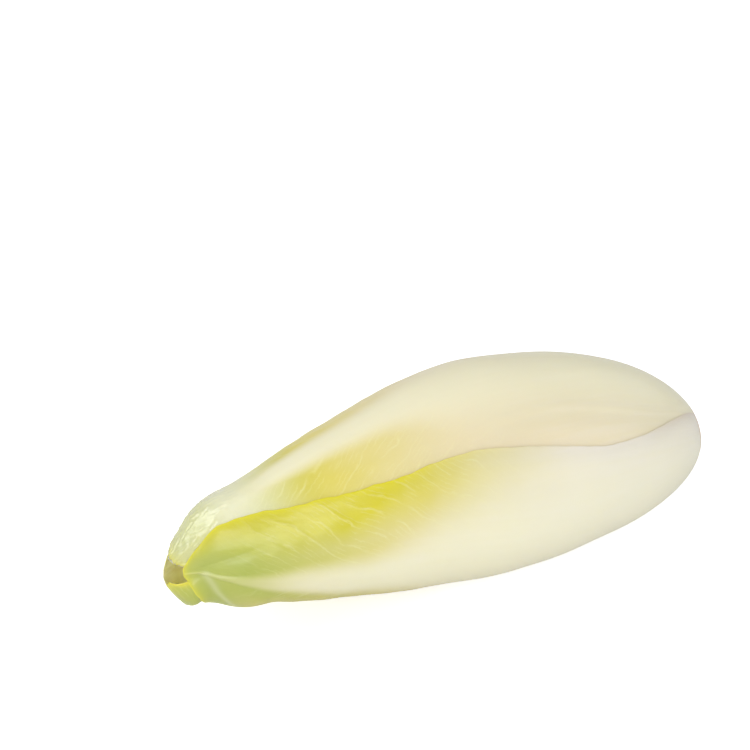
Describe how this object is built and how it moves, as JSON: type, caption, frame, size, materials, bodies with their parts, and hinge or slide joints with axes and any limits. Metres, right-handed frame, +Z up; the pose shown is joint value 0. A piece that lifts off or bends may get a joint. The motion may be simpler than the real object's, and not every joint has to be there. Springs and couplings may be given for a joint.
{
  "type": "belgian endive",
  "caption": "Whole head of Belgian endive lying on its side: pale, tightly wrapped leaves round a cone of stem, pointed at the leaf tips and cut flat at the butt.",
  "frame": {"origin": "on the surface that the head rests on, below the middle of its bounding box", "axes": "+Z up, +X along the head towards the cut butt, so that the leaf tips point to -X"},
  "size_m": [0.1496, 0.0564, 0.0549],
  "materials": {
    "outer_leaf": "waxy, ivory, turning yellow-green towards the tip",
    "inner_leaf": "waxy, ivory, with a yellow edge",
    "cut_stem": "dull, damp cut face, browned round its rim"
  },
  "bodies": {
    "root": {"outer_leaf_front": "outer_leaf", "outer_leaf_upper": "outer_leaf", "outer_leaf_back": "outer_leaf", "leaf_04": "inner_leaf", "leaf_05": "inner_leaf", "leaf_06": "inner_leaf", "leaf_07": "inner_leaf", "leaf_08": "inner_leaf", "leaf_09": "inner_leaf", "leaf_10": "inner_leaf", "leaf_11": "inner_leaf", "leaf_12": "inner_leaf", "leaf_13": "inner_leaf", "leaf_14": "inner_leaf", "leaf_15": "inner_leaf", "leaf_16": "inner_leaf", "leaf_17": "inner_leaf", "leaf_18": "inner_leaf", "heart_bud": "inner_leaf", "core": "cut_stem"}
  },
  "joints": []
}
